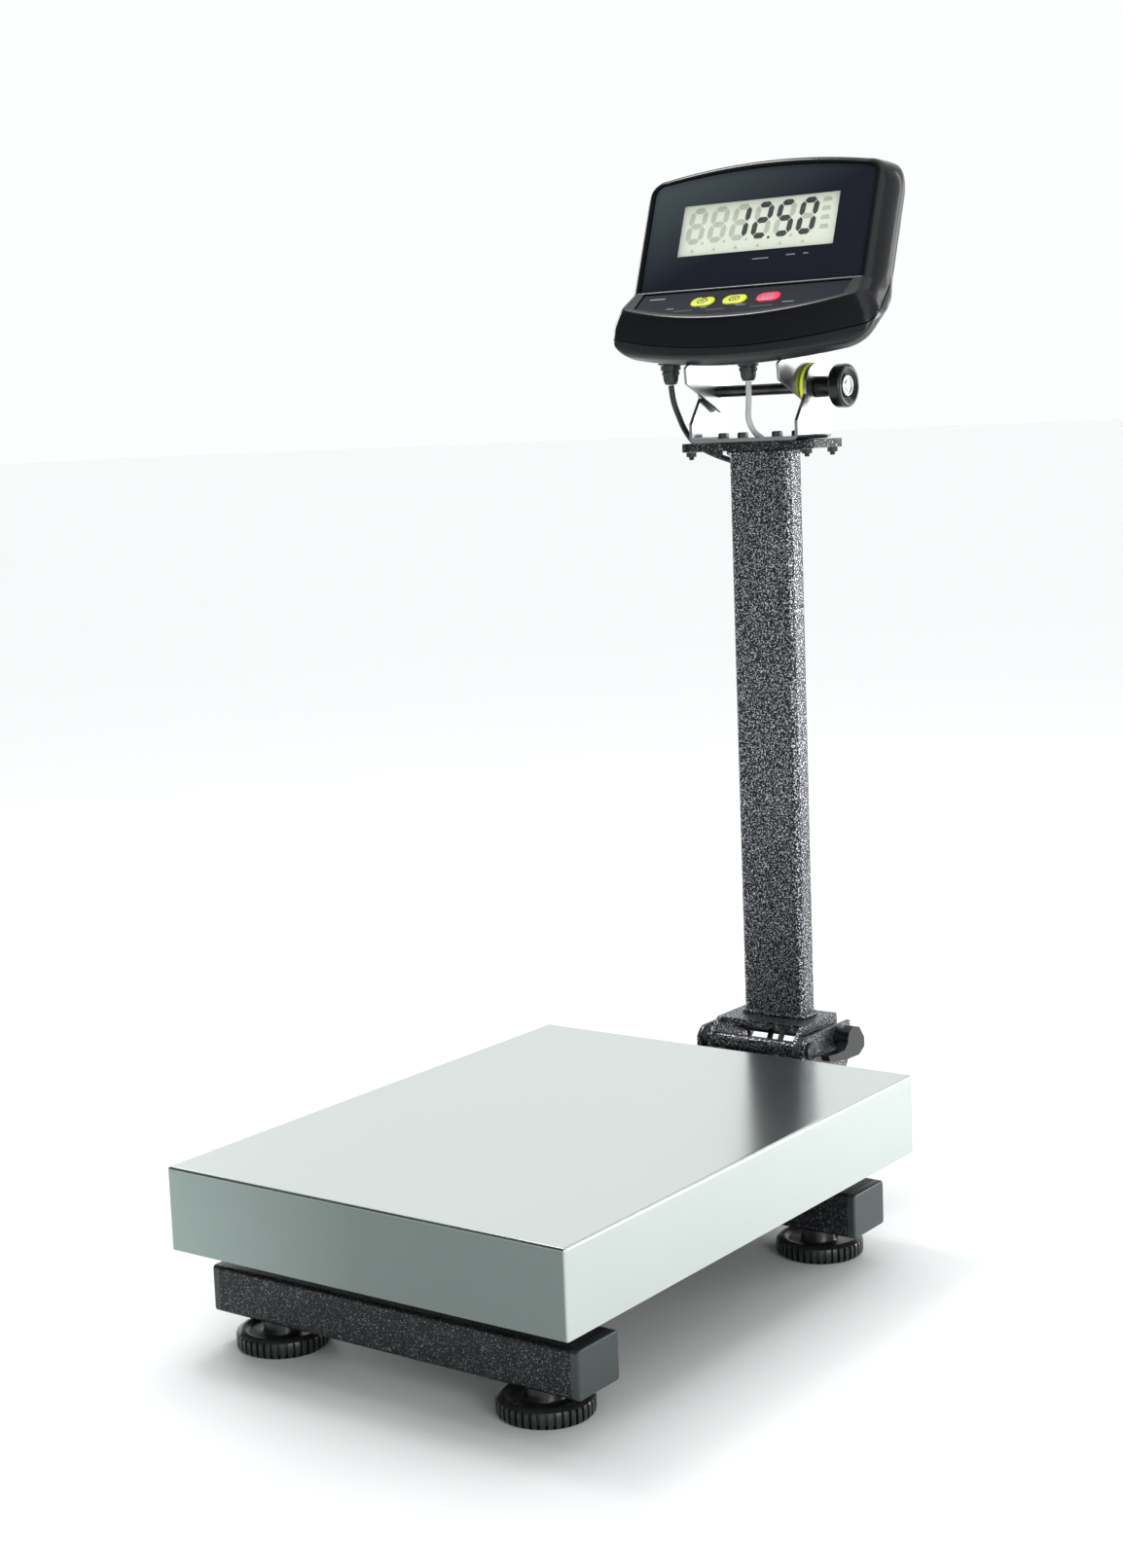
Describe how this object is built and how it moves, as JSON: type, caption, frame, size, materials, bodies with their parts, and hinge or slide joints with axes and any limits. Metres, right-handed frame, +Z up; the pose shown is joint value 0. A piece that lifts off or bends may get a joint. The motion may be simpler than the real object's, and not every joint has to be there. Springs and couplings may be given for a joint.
{
  "type": "bench scale",
  "caption": "Bench weighing scale with a stainless tray on a tubular base, a folding rear column and a tilting LCD indicator held by a side knob.",
  "frame": {"origin": "centre of the bounding box at the level the feet stand on", "axes": "+Z up, +Y to the rear where the column stands, +X to the user's right; the display faces -Y"},
  "size_m": [0.3, 0.5318, 0.7348],
  "materials": {
    "hammered_paint": "hammered black and silver powder paint",
    "plug_plastic": "satin dark grey-green",
    "foot_rubber": "matte black",
    "cell_aluminium": "machined",
    "zinc_steel": "zinc plated",
    "stainless": "brushed stainless",
    "black_steel": "black oxide",
    "black_plastic": "gloss black moulding",
    "yellow_plastic": "satin lemon yellow",
    "red_plastic": "satin crimson",
    "overlay_film": "satin blue-black film",
    "clear_pane": "clear acrylic",
    "lcd_glass": "reflective grey-green",
    "board_green": "solder mask",
    "battery_wrap": "shrink wrap",
    "grey_lead": "grey jacket",
    "black_lead": "black jacket"
  },
  "bodies": {
    "base": {"front_crossbar": "hammered_paint", "rear_crossbar": "hammered_paint", "base_spine": "hammered_paint", "crossbar_plug_front_left": "plug_plastic", "crossbar_plug_front_right": "plug_plastic", "crossbar_plug_rear_left": "plug_plastic", "crossbar_plug_rear_right": "plug_plastic", "column_bracket": "hammered_paint", "hinge_pin": "zinc_steel", "hinge_washer_left": "black_steel", "hinge_washer_right": "black_steel", "clamp_bolt": "zinc_steel", "clamp_spring": "black_steel", "power_socket": "black_plastic", "load_cell": "cell_aluminium", "cell_spacer_lower": "zinc_steel", "signal_lead_base": "grey_lead", "power_lead_base": "black_lead"},
    "platform": {"cell_spacer_upper": "zinc_steel", "platform_subframe": "hammered_paint", "platform_tray": "stainless", "tray_bumper_front_left": "foot_rubber", "tray_bumper_front_right": "foot_rubber", "tray_bumper_rear_left": "foot_rubber", "tray_bumper_rear_right": "foot_rubber"},
    "foot_front_left": {"foot_front_left": "foot_rubber"},
    "foot_front_right": {"foot_front_right": "foot_rubber"},
    "foot_rear_left": {"foot_rear_left": "foot_rubber"},
    "foot_rear_right": {"foot_rear_right": "foot_rubber"},
    "clamp_lever": {"clamp_lever": "black_plastic"},
    "column": {"column_foot": "hammered_paint", "column_tube": "hammered_paint", "column_top_plate": "hammered_paint", "tilt_yoke": "stainless", "yoke_screw_1": "black_steel", "yoke_screw_2": "black_steel", "yoke_screw_3": "black_steel", "yoke_screw_4": "black_steel", "tilt_rod": "black_steel", "friction_washer_left": "yellow_plastic", "friction_washer_right": "yellow_plastic", "signal_lead_column": "grey_lead", "power_lead_column": "black_lead"},
    "tilt_knob": {"tilt_knob": "black_plastic"},
    "indicator": {"indicator_front_shell": "black_plastic", "indicator_rear_shell": "black_plastic", "indicator_bracket": "stainless", "display_overlay": "overlay_film", "display_window": "clear_pane", "lcd_module": "lcd_glass", "keypad_overlay": "overlay_film", "circuit_board": "board_green", "battery_pack": "battery_wrap", "power_gland": "plug_plastic", "signal_gland": "plug_plastic", "signal_lead_head": "grey_lead", "power_lead_head": "black_lead"},
    "key_print": {"key_print": "yellow_plastic"},
    "key_tare": {"key_tare": "yellow_plastic"},
    "key_zero": {"key_zero": "red_plastic"}
  },
  "joints": [
    {"name": "platform_load", "type": "slide", "parent": "base", "child": "platform", "axis": [0, 0, 1], "range_m": [-0.0008, 0], "stiffness_N_per_m": 400000, "springref_m": 0.0001, "deforming": ["load_cell"]},
    {"name": "foot_turn_front_left", "type": "hinge", "parent": "base", "child": "foot_front_left", "pos_m": [-0.101, -0.22285, 0], "axis": [0, 0, 1], "continuous": true},
    {"name": "foot_turn_front_right", "type": "hinge", "parent": "base", "child": "foot_front_right", "pos_m": [0.101, -0.22285, 0], "axis": [0, 0, 1], "continuous": true},
    {"name": "foot_turn_rear_left", "type": "hinge", "parent": "base", "child": "foot_rear_left", "pos_m": [-0.101, 0.09115, 0], "axis": [0, 0, 1], "continuous": true},
    {"name": "foot_turn_rear_right", "type": "hinge", "parent": "base", "child": "foot_rear_right", "pos_m": [0.101, 0.09115, 0], "axis": [0, 0, 1], "continuous": true},
    {"name": "column_fold", "type": "hinge", "parent": "base", "child": "column", "pos_m": [0, 0.18215, 0.1095], "axis": [1, 0, 0], "range_deg": [0, 86], "deforming": ["signal_lead_base", "power_lead_base"]},
    {"name": "clamp_turn", "type": "hinge", "parent": "base", "child": "clamp_lever", "pos_m": [0.05, 0.22415, 0.1105], "axis": [1, 0, 0], "range_deg": [-90, 60]},
    {"name": "indicator_tilt", "type": "hinge", "parent": "column", "child": "indicator", "pos_m": [0, 0.21615, 0.5757], "axis": [1, 0, 0], "range_deg": [-35, 20], "deforming": ["signal_lead_head", "power_lead_head"]},
    {"name": "knob_turn", "type": "hinge", "parent": "column", "child": "tilt_knob", "pos_m": [0.057, 0.21615, 0.5757], "axis": [1, 0, 0], "continuous": true},
    {"name": "key_print_press", "type": "slide", "parent": "indicator", "child": "key_print", "axis": [0, 0.5878, -0.809], "range_m": [0, 0.0005], "stiffness_N_per_m": 1200},
    {"name": "key_tare_press", "type": "slide", "parent": "indicator", "child": "key_tare", "axis": [0, 0.5878, -0.809], "range_m": [0, 0.0005], "stiffness_N_per_m": 1200},
    {"name": "key_zero_press", "type": "slide", "parent": "indicator", "child": "key_zero", "axis": [0, 0.5878, -0.809], "range_m": [0, 0.0005], "stiffness_N_per_m": 1200}
  ]
}
